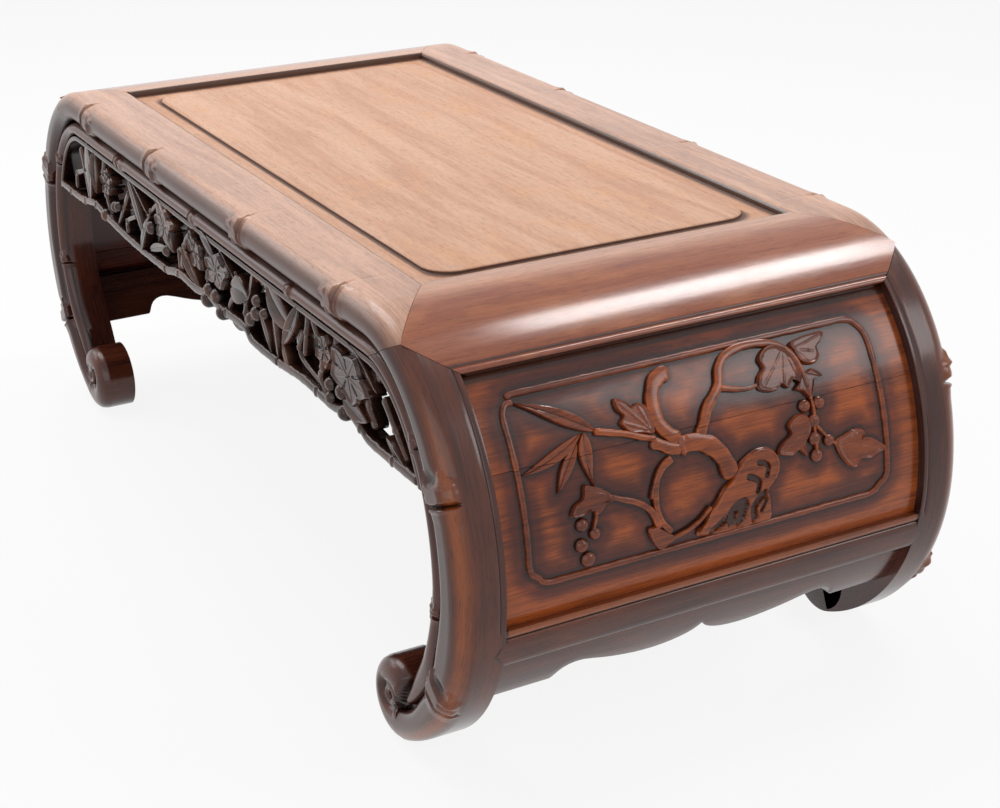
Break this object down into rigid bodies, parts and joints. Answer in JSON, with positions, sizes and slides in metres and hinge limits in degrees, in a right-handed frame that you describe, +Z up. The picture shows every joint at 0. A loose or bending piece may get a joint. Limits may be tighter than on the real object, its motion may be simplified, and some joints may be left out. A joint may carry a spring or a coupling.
{
  "type": "kang table",
  "caption": "Low hardwood table with rolled ends, C-curved legs on scroll feet, a floating top panel, carved end panels and pierced carved aprons.",
  "frame": {"origin": "on the floor, under the middle of the top", "axes": "+X along the table's length, +Y across it towards the back, +Z up"},
  "size_m": [0.962, 0.44, 0.341],
  "materials": {
    "top_wood": "waxed, satin",
    "rail_wood": "lacquered, glossy on the rolled edges",
    "leg_wood": "dark stained, polished",
    "panel_wood": "dark red-brown, polished",
    "carved_wood": "dark stained, polished on the high points",
    "inner_wood": "bare"
  },
  "bodies": {
    "root": {"top_front_rail": "rail_wood", "top_back_rail": "rail_wood", "top_left_end_rail": "rail_wood", "top_right_end_rail": "rail_wood", "top_panel": "top_wood", "panel_batten_left": "inner_wood", "panel_batten_centre": "inner_wood", "panel_batten_right": "inner_wood", "corner_keys": "inner_wood", "apron_pegs": "inner_wood", "leg_front_right": "leg_wood", "leg_front_left": "leg_wood", "leg_back_right": "leg_wood", "leg_back_left": "leg_wood", "end_panel_upper_right": "panel_wood", "end_panel_lower_right": "panel_wood", "end_panel_upper_left": "panel_wood", "end_panel_lower_left": "panel_wood", "end_rail_right": "leg_wood", "end_rail_left": "leg_wood", "end_apron_right": "leg_wood", "end_apron_left": "leg_wood", "front_apron": "carved_wood", "back_apron": "carved_wood"}
  },
  "joints": []
}
